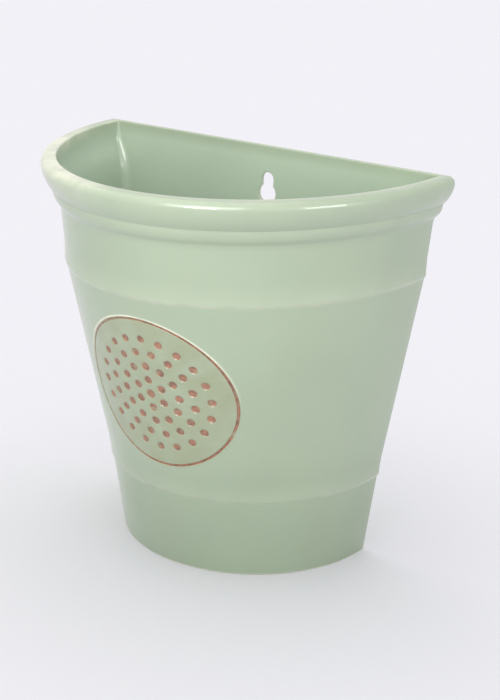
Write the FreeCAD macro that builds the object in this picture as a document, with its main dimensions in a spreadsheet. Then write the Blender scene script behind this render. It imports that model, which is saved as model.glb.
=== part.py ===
import FreeCAD, Part
import math
import os

import Sketcher

# Half-round wall planter, millimetres, +Z up.
#
# The tub is half of an oval pot: full ovals are lofted one above the other, the wall plane cuts them
# in half, and a smaller half hollows them out. Every oval is given by its half width (along X) and
# its depth (along Y, from the wall plane to the front). A rolled rim runs round the top.
#
# While it is built, the wall plane is Y = 0 and the front points to -Y. The finished pieces are then
# moved forwards by half the depth, so the origin is the middle of the footprint at ground level.

V = FreeCAD.Vector
LYING_ALONG_Y = FreeCAD.Rotation(V(1, 0, 0), -90)
QUARTER_TURN = FreeCAD.Rotation(V(0, 0, 1), 90)

doc = FreeCAD.newDocument("wall_planter")

# ---------------------------------------------------------------- sizes
SIZES = {
    # overall
    "pot_height": 250.0,
    "rim_half_width": 125.0,
    "rim_depth": 162.5,
    "wall_thickness": 3.0,
    "floor_thickness": 3.0,
    "foot_recess": 4.0,
    # outline of the wall, at three levels below the rim
    "foot_half_width": 83.5,
    "foot_depth": 89.5,
    "waist_height": 52.5,
    "waist_half_width": 89.5,
    "waist_depth": 102.5,
    "shoulder_height": 186.0,
    "shoulder_half_width": 110.5,
    "shoulder_depth": 145.5,
    # the two steps, each a lip on the lower edge of the band above it
    "step_proud": 1.4,
    "step_drop": 2.0,
    "step_flare": 10.0,
    # rolled rim, measured down from its top and in from its outer edge
    "rim_roll_radius": 4.2,
    "crease_drop": 17.2,
    "crease_inset": 6.3,
    "neck_drop": 27.5,
    "neck_inset": 11.6,
    "bead_face_radius": 45.0,
    "moulding_radius": 30.0,
    "rim_overlap": 1.0,
    "mouth_inset": 9.2,
    "mouth_drop": 12.0,
    "inner_corner_radius": 6.0,
    "mouth_corner_radius": 1.0,
    # keyhole in the back wall
    "keyhole_head_radius": 6.2,
    "keyhole_slot_radius": 4.2,
    "keyhole_top_drop": 16.5,
    "keyhole_travel": 9.2,
    # drain holes in the floor, and their plugs
    "drain_radius": 6.0,
    "drain_side_offset": 42.0,
    "drain_side_setback": 32.0,
    "drain_front_setback": 60.0,
    "plug_clearance": 0.08,
    "plug_seat_gap": 0.1,
    "plug_head_radius": 9.0,
    "plug_head_thickness": 2.2,
    "plug_edge_radius": 0.8,
    "plug_nose_length": 2.6,
    "plug_nose_taper": 0.9,
    "plug_skin": 1.8,
}

sheet = doc.addObject("Spreadsheet::Sheet", "Sizes")
for row, (alias, value) in enumerate(SIZES.items(), start=1):
    sheet.set("A%d" % row, alias)
    sheet.set("B%d" % row, str(value))
    sheet.setAlias("B%d" % row, alias)
doc.recompute()


def tied(expression):
    """The expression with every size's name turned into a reference to its cell."""
    words = []
    word = ""
    for letter in expression + " ":
        if letter.isalnum() or letter in "_.":
            word += letter
            continue
        words.append("Sizes." + word if word in SIZES else word)
        words.append(letter)
        word = ""
    return "".join(words).strip()


def bind(thing, **expressions):
    """Ties properties of an object to expressions in the sizes."""
    for name, expression in expressions.items():
        thing.setExpression(name, tied(expression))
    return thing


def place(thing, x="0", y="0", z="0"):
    """Ties where an object stands to expressions in the sizes."""
    thing.setExpression(".Placement.Base.x", tied(x))
    thing.setExpression(".Placement.Base.y", tied(y))
    thing.setExpression(".Placement.Base.z", tied(z))
    return thing


def between(low, high, low_level, high_level, level):
    """A size at a level on the straight line between two levels, as an expression."""
    share = "((%s) - (%s)) / ((%s) - (%s))" % (level, low_level, high_level, low_level)
    return "(%s) + ((%s) - (%s)) * %s" % (low, high, low, share)


# ---------------------------------------------------------------- outline of the wall
NECK_LEVEL = "pot_height - neck_drop"
NECK_HALF_WIDTH = "rim_half_width - neck_inset"
NECK_DEPTH = "rim_depth - neck_inset"
FLOOR_LEVEL = "foot_recess + floor_thickness"

LEVELS = {
    "foot": ("foot_half_width", "foot_depth", "0"),
    "waist": ("waist_half_width", "waist_depth", "waist_height"),
    "shoulder": ("shoulder_half_width", "shoulder_depth", "shoulder_height"),
    "neck": (NECK_HALF_WIDTH, NECK_DEPTH, NECK_LEVEL),
}


def wall_at(lower, upper, level):
    """Half width and depth of the outside of the wall at a level between two named levels."""
    low_width, low_depth, low_level = LEVELS[lower]
    high_width, high_depth, high_level = LEVELS[upper]
    width = between(low_width, high_width, low_level, high_level, level)
    depth = between(low_depth, high_depth, low_level, high_level, level)
    return width, depth


def oval(name, half_width, depth, level):
    """A full horizontal oval round the Z axis: a unit circle, stretched along its own two axes.

    The circle is turned a quarter, so that its seam lies at +Y and its own X axis is the depth.
    """
    circle = doc.addObject("Part::Circle", name + "_circle")
    circle.Radius = 1.0
    circle.Placement.Rotation = QUARTER_TURN
    stretched = doc.addObject("Part::Scale", name)
    stretched.Base = circle
    stretched.Uniform = False
    bind(stretched, XScale=depth, YScale=half_width)
    return place(stretched, z=level)


def stack(name, sections):
    """A solid ruled through ovals, from the lowest to the highest."""
    loft = doc.addObject("Part::Loft", name)
    loft.Sections = sections
    loft.Solid = True
    loft.Ruled = True
    return loft


def in_front_of(name, whole, setback):
    """The half of a solid that lies in front of a plane, setback behind which nothing is kept."""
    front = doc.addObject("Part::Box", name + "_front")
    bind(front, Length="4 * rim_half_width", Width="2 * rim_depth", Height="2 * pot_height")
    place(front, x="-2 * rim_half_width", y="-2 * rim_depth - (%s)" % setback, z="-pot_height / 2")
    half = doc.addObject("Part::Common", name)
    half.Base = whole
    half.Tool = front
    return half


def step_sections(name, lower, upper, level):
    """Three ovals of a step at a level: the wall line, the lip above it, the end of its flare."""
    lip_level = "%s + step_drop" % level
    flare_level = "%s + step_drop + step_flare" % level
    lip_width, lip_depth = wall_at(lower, upper, lip_level)
    flare_width, flare_depth = wall_at(lower, upper, flare_level)
    line = oval(name + "_line", *LEVELS[lower])
    lip = oval(name + "_lip", lip_width + " + step_proud", lip_depth + " + step_proud", lip_level)
    flare = oval(name + "_flare", flare_width, flare_depth, flare_level)
    return [line, lip, flare]


sections = [oval("foot_oval", *LEVELS["foot"])]
sections += step_sections("waist", "waist", "shoulder", "waist_height")
sections += step_sections("shoulder", "shoulder", "neck", "shoulder_height")
sections.append(oval("neck_oval", *LEVELS["neck"]))
sections.append(oval("neck_top_oval", NECK_HALF_WIDTH, NECK_DEPTH, "pot_height"))
full_wall = stack("full_wall", sections)

# ---------------------------------------------------------------- rolled rim
# Its section stands in the YZ plane where the neck oval starts, at the back. Sketch x points out
# of the pot and sketch y up; the sketch's origin is on the neck.
rim_section = doc.addObject("Sketcher::SketchObject", "rim_section")
rim_section.Placement.Rotation = FreeCAD.Rotation(V(0, 1, 0), V(0, 0, 1), V(1, 0, 0), "XYZ")
place(rim_section, y=NECK_DEPTH, z=NECK_LEVEL)

reach = SIZES["neck_inset"]
rise = SIZES["neck_drop"]
roll = SIZES["rim_roll_radius"]
root = SIZES["wall_thickness"] + SIZES["rim_overlap"]
crease = V(reach - SIZES["crease_inset"], rise - SIZES["crease_drop"], 0)
roll_centre = V(reach - roll, rise - roll, 0)
roll_top = roll_centre + V(0, roll, 0)

# Where the bead's face meets the roll: a first guess, which the tangent constraint settles.
ROLL_START = -0.45
roll_end = roll_centre + V(roll * math.cos(ROLL_START), roll * math.sin(ROLL_START), 0)


def bulged(start, end, radius):
    """The arc of a radius from start to end that bulges to the right of the way it runs."""
    chord = end - start
    bulge = chord.Length ** 2 / (8 * radius)
    middle = (start + end) * 0.5 + V(chord.y, -chord.x, 0).normalize() * bulge
    return Part.Arc(start, middle, end)


def round_corner(centre, radius, first, last):
    """The arc round a centre from one angle to another."""
    return Part.ArcOfCircle(Part.Circle(centre, V(0, 0, 1), radius), first, last)


moulding = rim_section.addGeometry(bulged(V(), crease, SIZES["moulding_radius"]), False)
bead_face = rim_section.addGeometry(bulged(crease, roll_end, SIZES["bead_face_radius"]), False)
rim_roll = rim_section.addGeometry(
    round_corner(roll_centre, roll, ROLL_START, math.pi / 2), False)
rim_top = rim_section.addGeometry(Part.LineSegment(roll_top, V(-root, rise, 0)), False)
rim_back = rim_section.addGeometry(Part.LineSegment(V(-root, rise, 0), V(-root, 0, 0)), False)
rim_base = rim_section.addGeometry(Part.LineSegment(V(-root, 0, 0), V()), False)

START, END, CENTRE = 1, 2, 3
ORIGIN = (-1, 1)


def constrain(sketch, kind, *places):
    """Adds a constraint to a sketch."""
    return sketch.addConstraint(Sketcher.Constraint(kind, *places))


def dimension(sketch, name, kind, expression, value, *places):
    """Adds a named dimension to a sketch and ties it to an expression in the sizes."""
    index = constrain(sketch, kind, *places, value)
    sketch.renameConstraint(index, name)
    sketch.setExpression("Constraints." + name, tied(expression))


def end_at(sketch, geometry, point):
    """Which end, START or END, of a piece of a sketch lies at a point."""
    start = sketch.getPoint(geometry, START)
    return START if start.isEqual(point, 1e-6) else END


moulding_low = end_at(rim_section, moulding, V())
moulding_high = end_at(rim_section, moulding, crease)
face_low = end_at(rim_section, bead_face, crease)
face_high = end_at(rim_section, bead_face, roll_end)
constrain(rim_section, "Coincident", moulding, moulding_low, *ORIGIN)
constrain(rim_section, "Coincident", moulding, moulding_high, bead_face, face_low)
constrain(rim_section, "Tangent", bead_face, face_high, rim_roll, START)
constrain(rim_section, "Tangent", rim_roll, END, rim_top, START)
constrain(rim_section, "Coincident", rim_top, END, rim_back, START)
constrain(rim_section, "Coincident", rim_back, END, rim_base, START)
constrain(rim_section, "Coincident", rim_base, END, *ORIGIN)
constrain(rim_section, "Horizontal", rim_top)
constrain(rim_section, "Vertical", rim_back)
constrain(rim_section, "Horizontal", rim_base)
dimension(rim_section, "crease_out", "DistanceX", "neck_inset - crease_inset", crease.x,
          *ORIGIN, moulding, moulding_high)
dimension(rim_section, "crease_up", "DistanceY", "neck_drop - crease_drop", crease.y,
          *ORIGIN, moulding, moulding_high)
dimension(rim_section, "moulding_round", "Radius", "moulding_radius", SIZES["moulding_radius"],
          moulding)
dimension(rim_section, "face_round", "Radius", "bead_face_radius", SIZES["bead_face_radius"],
          bead_face)
dimension(rim_section, "roll_round", "Radius", "rim_roll_radius", roll, rim_roll)
dimension(rim_section, "roll_out", "DistanceX", "neck_inset - rim_roll_radius", roll_centre.x,
          *ORIGIN, rim_roll, CENTRE)
dimension(rim_section, "roll_up", "DistanceY", "neck_drop - rim_roll_radius", roll_centre.y,
          *ORIGIN, rim_roll, CENTRE)
dimension(rim_section, "root_in", "DistanceX", "wall_thickness + rim_overlap", root,
          rim_back, END, *ORIGIN)

rim_path = oval("rim_path", *LEVELS["neck"])
rim_ring = doc.addObject("Part::Sweep", "rim_ring")
rim_ring.Sections = [rim_section]
rim_ring.Spine = (rim_path, ["Edge1"])
rim_ring.Solid = True
rim_ring.Frenet = False

full_pot = doc.addObject("Part::Fuse", "full_pot")
full_pot.Base = full_wall
full_pot.Tool = rim_ring
outside = in_front_of("outside", full_pot, "0")

# ---------------------------------------------------------------- inside
INNER = "(%s) - wall_thickness"
floor_width, floor_depth = wall_at("foot", "waist", FLOOR_LEVEL)
MOUTH_HALF_WIDTH = "rim_half_width - mouth_inset"
MOUTH_DEPTH = "rim_depth - mouth_inset"
MOUTH_LEVEL = "pot_height - mouth_drop"


def inner_oval(name, half_width, depth, level):
    """An oval one wall thickness inside a level of the wall."""
    return oval(name, INNER % half_width, INNER % depth, level)


# The throat follows the wall up to the neck, and a little further at the same slope, so that it
# crosses the flare above it.
ABOVE_NECK = NECK_LEVEL + " + wall_thickness"
above_width, above_depth = wall_at("shoulder", "neck", ABOVE_NECK)
throat_full = stack("throat_full", [
    inner_oval("floor_oval", floor_width, floor_depth, FLOOR_LEVEL),
    inner_oval("waist_inner", *LEVELS["waist"]),
    inner_oval("shoulder_inner", *LEVELS["shoulder"]),
    inner_oval("above_neck_oval", above_width, above_depth, ABOVE_NECK),
])
throat = in_front_of("throat", throat_full, "wall_thickness")
doc.recompute()


NEGLIGIBLE = 0.01


def edges_where(shape, test):
    """Numbers of a shape's edges for which test is true, counted from 1."""
    return [number for number, edge in enumerate(shape.Edges, start=1) if test(edge)]


def is_back_corner(edge):
    """True for a rising edge to the left or right of the middle, where two walls meet."""
    return edge.BoundBox.ZLength > NEGLIGIBLE and abs(edge.CenterOfMass.x) > NEGLIGIBLE


def is_floor_edge(edge):
    """True for an edge of the floor."""
    floor_level = SIZES["foot_recess"] + SIZES["floor_thickness"]
    return abs(edge.CenterOfMass.z - floor_level) < NEGLIGIBLE


def corner_radii(edge):
    """Start and end radius of an upright corner that sharpens towards its top."""
    low, high = SIZES["inner_corner_radius"], SIZES["mouth_corner_radius"]
    rises = edge.valueAt(edge.FirstParameter).z < edge.valueAt(edge.LastParameter).z
    return (low, high) if rises else (high, low)


soft_throat = doc.addObject("Part::Fillet", "soft_throat")
soft_throat.Base = throat
soft_throat.Edges = [
    (number, SIZES["inner_corner_radius"], SIZES["inner_corner_radius"])
    for number in edges_where(throat.Shape, lambda edge: is_back_corner(edge) or is_floor_edge(edge))
]

# Above the neck the throat flares out to the mouth, an upright band inside the rim. The flare and the
# band are both made longer than they are needed, and what they share is the top of the hollow.
BELOW_NECK = NECK_LEVEL + " - wall_thickness"
ABOVE_RIM = "pot_height + wall_thickness"


def flare_at(level):
    """Half width and depth of the flare at a level."""
    width = between(INNER % NECK_HALF_WIDTH, MOUTH_HALF_WIDTH, NECK_LEVEL, MOUTH_LEVEL, level)
    depth = between(INNER % NECK_DEPTH, MOUTH_DEPTH, NECK_LEVEL, MOUTH_LEVEL, level)
    return width, depth


flare_full = stack("flare_full", [
    oval("flare_low_oval", *flare_at(BELOW_NECK), BELOW_NECK),
    oval("flare_high_oval", *flare_at(ABOVE_RIM), ABOVE_RIM),
])
flare = in_front_of("flare", flare_full, "wall_thickness")
doc.recompute()
soft_flare = doc.addObject("Part::Fillet", "soft_flare")
soft_flare.Base = flare
soft_flare.Edges = [
    (number, *corner_radii(flare.Shape.Edges[number - 1]))
    for number in edges_where(flare.Shape, is_back_corner)
]
band = stack("band", [
    oval("band_low_oval", MOUTH_HALF_WIDTH, MOUTH_DEPTH, BELOW_NECK + " - wall_thickness"),
    oval("band_high_oval", MOUTH_HALF_WIDTH, MOUTH_DEPTH, ABOVE_RIM + " + wall_thickness"),
])
mouth = doc.addObject("Part::Common", "mouth")
mouth.Base = soft_flare
mouth.Tool = band

# Under the floor the wall stands on as a foot edge, one wall thickness wide.
recess_width, recess_depth = wall_at("foot", "waist", "foot_recess")
recess_full = stack("recess_full", [
    inner_oval("recess_low_oval", "foot_half_width", "foot_depth", "0"),
    inner_oval("recess_high_oval", recess_width, recess_depth, "foot_recess"),
])
recess = in_front_of("recess", recess_full, "wall_thickness")


# ---------------------------------------------------------------- holes
def hole(name, radius, length, turned=False):
    """A round cutter, upright or turned to lie along Y."""
    cutter = doc.addObject("Part::Cylinder", name)
    bind(cutter, Radius=radius, Height=length)
    if turned:
        cutter.Placement.Rotation = LYING_ALONG_Y
    return cutter


# Keyhole: a screw head passes the round part, and its shank runs up the slot.
SLOT_LEVEL = "pot_height - keyhole_top_drop - keyhole_slot_radius"
HEAD_LEVEL = SLOT_LEVEL + " - keyhole_travel"
THROUGH_BACK = "3 * wall_thickness"

keyhole_head = hole("keyhole_head", "keyhole_head_radius", THROUGH_BACK, turned=True)
place(keyhole_head, y="-2 * wall_thickness", z=HEAD_LEVEL)
keyhole_end = hole("keyhole_end", "keyhole_slot_radius", THROUGH_BACK, turned=True)
place(keyhole_end, y="-2 * wall_thickness", z=SLOT_LEVEL)
keyhole_slot = doc.addObject("Part::Box", "keyhole_slot")
bind(keyhole_slot, Length="2 * keyhole_slot_radius", Width=THROUGH_BACK, Height="keyhole_travel")
place(keyhole_slot, x="-keyhole_slot_radius", y="-2 * wall_thickness", z=HEAD_LEVEL)

DRAINS = {
    "left": ("-drain_side_offset", "-drain_side_setback"),
    "right": ("drain_side_offset", "-drain_side_setback"),
    "front": ("0", "-drain_front_setback"),
}
drains = []
for side, (x, y) in DRAINS.items():
    drain = hole("drain_" + side, "drain_radius", "foot_recess + 2 * floor_thickness")
    drains.append(place(drain, x, y))

hollows = doc.addObject("Part::MultiFuse", "hollows")
hollows.Shapes = [soft_throat, mouth, recess, keyhole_head, keyhole_end, keyhole_slot] + drains

pot = doc.addObject("Part::Cut", "pot_shell")
pot.Base = outside
pot.Tool = hollows
pot.Label = "pot_shell"
place(pot, y="rim_depth / 2")


# ---------------------------------------------------------------- drain plugs
def plug_section(body, label):
    """Half of a plug's section: a round head, a stem that fits the drain hole, a tapered nose.

    The stem is hollow from above. The sketch's origin is the middle of the head's seat.
    """
    sketch = body.newObject("Sketcher::SketchObject", label)
    for plane in body.Origin.OriginFeatures:
        if plane.Role == "XZ_Plane":
            sketch.AttachmentSupport = [(plane, "")]
    sketch.MapMode = "FlatFace"

    head = SIZES["plug_head_radius"]
    thick = SIZES["plug_head_thickness"]
    edge = SIZES["plug_edge_radius"]
    stem = SIZES["drain_radius"] - SIZES["plug_clearance"]
    seat = SIZES["floor_thickness"] + SIZES["plug_seat_gap"]
    top = seat + SIZES["plug_nose_length"]
    tip = stem - SIZES["plug_nose_taper"]
    bore = tip - SIZES["plug_skin"]
    corners = [
        V(0, -thick, 0),
        V(head - edge, -thick, 0),
        V(head, edge - thick, 0),
        V(head, 0, 0),
        V(stem, 0, 0),
        V(stem, seat, 0),
        V(tip, top, 0),
        V(bore, top, 0),
        V(bore, 0, 0),
        V(0, 0, 0),
    ]
    # The ten sides, each named by the corner it starts from.
    under, under_round, head_side, head_seat, stem_side, nose, nose_end, bore_side, bore_end, axis = range(10)
    for side, (start, end) in enumerate(zip(corners, corners[1:] + corners[:1])):
        if side == under_round:
            centre = V(head - edge, edge - thick, 0)
            sketch.addGeometry(round_corner(centre, edge, -math.pi / 2, 0), False)
        else:
            sketch.addGeometry(Part.LineSegment(start, end), False)
    for side in range(len(corners)):
        kind = "Tangent" if side in (under, under_round) else "Coincident"
        constrain(sketch, kind, side, END, (side + 1) % len(corners), START)
    for flat in (under, head_seat, nose_end, bore_end):
        constrain(sketch, "Horizontal", flat)
    for upright in (head_side, stem_side, bore_side, axis):
        constrain(sketch, "Vertical", upright)
    constrain(sketch, "Coincident", axis, START, *ORIGIN)
    constrain(sketch, "Horizontal", *ORIGIN, stem_side, START)

    stem_size = "drain_radius - plug_clearance"
    tip_size = stem_size + " - plug_nose_taper"
    seat_size = "floor_thickness + plug_seat_gap"
    for name, kind, expression, value, side in (
        ("head_round", "DistanceX", "plug_head_radius", head, head_seat),
        ("stem_round", "DistanceX", stem_size, stem, nose),
        ("nose_round", "DistanceX", tip_size, tip, nose_end),
        ("bore_round", "DistanceX", tip_size + " - plug_skin", bore, bore_side),
        ("stem_rise", "DistanceY", seat_size, seat, nose),
        ("nose_rise", "DistanceY", seat_size + " + plug_nose_length", top, nose_end),
    ):
        dimension(sketch, name, kind, expression, value, *ORIGIN, side, START)
    dimension(sketch, "head_thick", "DistanceY", "plug_head_thickness", thick,
              under, START, *ORIGIN)
    dimension(sketch, "edge_round", "Radius", "plug_edge_radius", edge, under_round)
    return sketch


def drain_plug(side, x, y):
    """One push-in plug, seated under the floor in its drain hole."""
    body = doc.addObject("PartDesign::Body", "drain_plug_" + side)
    body.Label = "drain_plug_" + side
    sketch = plug_section(body, "plug_section_" + side)
    turned = body.newObject("PartDesign::Revolution", "plug_turned_" + side)
    turned.Profile = sketch
    turned.ReferenceAxis = (sketch, ["V_Axis"])
    turned.Angle = 360
    return place(body, x, "%s + rim_depth / 2" % y, "foot_recess - plug_seat_gap")


plugs = [drain_plug(side, x, y) for side, (x, y) in DRAINS.items()]
doc.recompute()

# ---------------------------------------------------------------- checks and files
for thing in doc.Objects:
    if "Invalid" in thing.State or "Error" in thing.State:
        raise RuntimeError("%s failed: %s" % (thing.Name, thing.State))

os.makedirs("parts", exist_ok=True)
for piece in [pot] + plugs:
    if piece.Shape.isNull() or not piece.Shape.isValid() or len(piece.Shape.Solids) != 1:
        raise RuntimeError("%s is not one valid solid" % piece.Label)
    piece.Shape.exportStep("parts/%s.step" % piece.Label)
    print(piece.Label, "%.0f mm3" % piece.Shape.Volume, piece.Shape.optimalBoundingBox())
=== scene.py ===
"""The visible surfaces, finishes and stage of a half-oval wall planter.

Shapes are worked out in millimetres with the back plane at y = 0, and are moved to the frame's
place, in metres, when their meshes are made.
"""

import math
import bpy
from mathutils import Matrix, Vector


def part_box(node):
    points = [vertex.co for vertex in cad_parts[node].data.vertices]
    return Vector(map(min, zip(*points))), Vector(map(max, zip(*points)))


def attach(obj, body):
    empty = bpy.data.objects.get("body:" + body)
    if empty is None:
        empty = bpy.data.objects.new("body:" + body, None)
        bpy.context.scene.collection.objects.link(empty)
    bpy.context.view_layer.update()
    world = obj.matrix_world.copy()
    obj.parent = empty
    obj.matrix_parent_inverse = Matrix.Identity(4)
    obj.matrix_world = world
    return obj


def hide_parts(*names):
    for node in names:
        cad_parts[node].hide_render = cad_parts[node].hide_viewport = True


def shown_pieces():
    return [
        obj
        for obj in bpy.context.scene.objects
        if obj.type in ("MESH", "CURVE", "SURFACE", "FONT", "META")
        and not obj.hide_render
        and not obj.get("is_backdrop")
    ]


bl_info = {
    "name": "Wall Planter",
    "version": (1, 0, 0),
    "blender": (4, 5, 0),
    "location": "3D View > Sidebar > Wall Planter",
    "description": "Surfaces, finishes and stage of a half-oval wall planter with drain plugs",
    "category": "Object",
}

import bpy
import numpy as np
from bpy.props import FloatProperty, FloatVectorProperty, IntProperty, PointerProperty
from bpy.types import Operator, Panel, PropertyGroup
from mathutils import Matrix, Vector

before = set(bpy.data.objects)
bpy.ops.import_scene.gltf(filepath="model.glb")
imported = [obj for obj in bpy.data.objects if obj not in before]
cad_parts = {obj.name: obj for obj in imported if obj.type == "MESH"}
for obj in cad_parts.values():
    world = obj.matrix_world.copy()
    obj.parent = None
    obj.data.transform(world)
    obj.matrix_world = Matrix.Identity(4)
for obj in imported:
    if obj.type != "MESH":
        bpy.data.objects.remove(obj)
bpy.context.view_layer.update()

MM = 0.001
BACK_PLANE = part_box("pot_shell")[1].y / MM

# Outline of the wall below the rim: level, half width and depth, straight between the levels.
WAIST = 52.5
SHOULDER = 186.0
NECK = 222.5
LEVELS = np.array([0.0, WAIST, SHOULDER, NECK])
HALF_WIDTHS = np.array([83.5, 89.5, 110.5, 113.4])
DEPTHS = np.array([89.5, 102.5, 145.5, 150.9])

WALL = 3.0
TOP = 250.0
FLOOR_TOP = 7.0
FLOOR_UNDERSIDE = 4.0
FLOOR_INSET = 1.6  # how far the floor plate's edge lies behind the wall's outside
DRAINS = ((-42.0, -32.0), (42.0, -32.0), (0.0, -60.0))
DRAIN_RADIUS = 6.0
DRAIN_SOFT = 0.4  # rounding of the drain holes' edges

# The keyhole: its middle's level, then the level and radius of its head and of its slot's end.
KEYHOLE_MIDDLE = 223.5
KEYHOLE_HEAD = (220.1, 6.2)
KEYHOLE_END = (229.3, 4.2)
KEYHOLE_SOFT = 0.35  # rounding of the keyhole's edges

# How many steps each window or stretch of the grids has.
FRONT_SIDE = 22
FRONT_MIDDLE = 120
SIDE_TURN = 52.0  # degrees of the oval at each end, where the columns are wider
CORNER = 5
BACK_SIDE = np.array([45.0, 80.0])  # where the straight back's outer columns lie
BACK_END = 0.6  # width of the back's last column at each end
KEY_HALF = 12
KEY_BLOCK = 8
KEY_REACH = 12.5
DECOR_HALF = 60
DECOR_BLOCK = 52
FLOOR_ROWS = 84
FLOOR_COLUMNS = 140
DRAIN_HALF = 10
DRAIN_BLOCK = 6
SHARP_ANGLE = math.radians(34)

# Rings of round dots: the ring's radius, count, turn in steps and the dots' radius, in mm.
DOT_RINGS = (
    (9.4, 6, 0.0, 2.9),
    (18.4, 12, 0.5, 2.9),
    (27.4, 16, 0.0, 2.8),
    (36.4, 20, 0.5, 2.7),
)
MIDDLE_DOT = 3.2
DOTS_REACH = 43.8  # radius that no dot passes
DECOR_REACH = 54.0
HAZE = 0.1  # value of the wash that stands for a haze all over the panel

# The view fitted to the photograph: angles in degrees, lengths in mm, the lens in pixels.
VIEW_SIDE, VIEW_RISE, VIEW_ROLL = 32.7558, 19.2383, 2.305
VIEW_DISTANCE = 959.504
VIEW_AIM_ACROSS, VIEW_AIM_DEPTH, VIEW_AIM_LEVEL = 5.7689, -60.0, 132.657
VIEW_LENS = 1571.185
VIEW_SHIFT = 30
IMAGE_HEIGHT = 700
SENSOR = 36.0

GROUND_HALF = 14.0
POT_MIDDLE = Vector((0, 0, 0.15))


# ---------------------------------------------------------------- curves in a plane
def line(start, end, count):
    """Points on a straight line: start + share * (end - start), without the end."""
    share = np.arange(count)[:, None] / count
    return np.array(start) + share * (np.array(end) - np.array(start))


def bend(start, corner, end, count):
    """Points on a quadratic curve: (1-s)^2 start + 2s(1-s) corner + s^2 end, without the end."""
    s = np.arange(count)[:, None] / count
    start, corner, end = np.array(start), np.array(corner), np.array(end)
    return (1 - s) ** 2 * start + 2 * s * (1 - s) * corner + s ** 2 * end


def arc(centre, radius, first, last, count):
    """Points on a circle: centre + radius * (cos a, sin a), a from first towards last."""
    a = first + (last - first) * np.arange(count) / count
    return np.array(centre) + radius * np.stack([np.cos(a), np.sin(a)], axis=1)


def bulge(start, end, radius, count):
    """Points on the arc of a radius from start to end that swells to the right of its way."""
    chord = np.subtract(end, start)
    length = np.hypot(*chord)
    right = np.array([chord[1], -chord[0]]) / length
    centre = np.add(start, end) / 2 - right * math.sqrt(radius ** 2 - length ** 2 / 4)
    first, last = (math.atan2(*(np.array(point) - centre)[::-1]) for point in (start, end))
    return arc(centre, radius, first, last, count)


def at_back(front, plane):
    """The back's own profile (y, level) that keeps the front's levels at a plane."""
    return np.stack([np.full(len(front), plane), front[:, 1]], axis=1)


def along_offset(front):
    """The back's profile where the back is set in as far as the front is."""
    return front.copy()


# ---------------------------------------------------------------- wall
def wall_size(level):
    """Half width and depth of the wall at a level, by straight lines between LEVELS."""
    return np.interp(level, LEVELS, HALF_WIDTHS), np.interp(level, LEVELS, DEPTHS)


def wall_y(x, level):
    """Where the outside of the wall lies behind x at a level: -depth * sqrt(1 - (x/width)^2)."""
    width, depth = wall_size(level)
    return -depth * np.sqrt(np.maximum(1 - (x / width) ** 2, 0))


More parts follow.
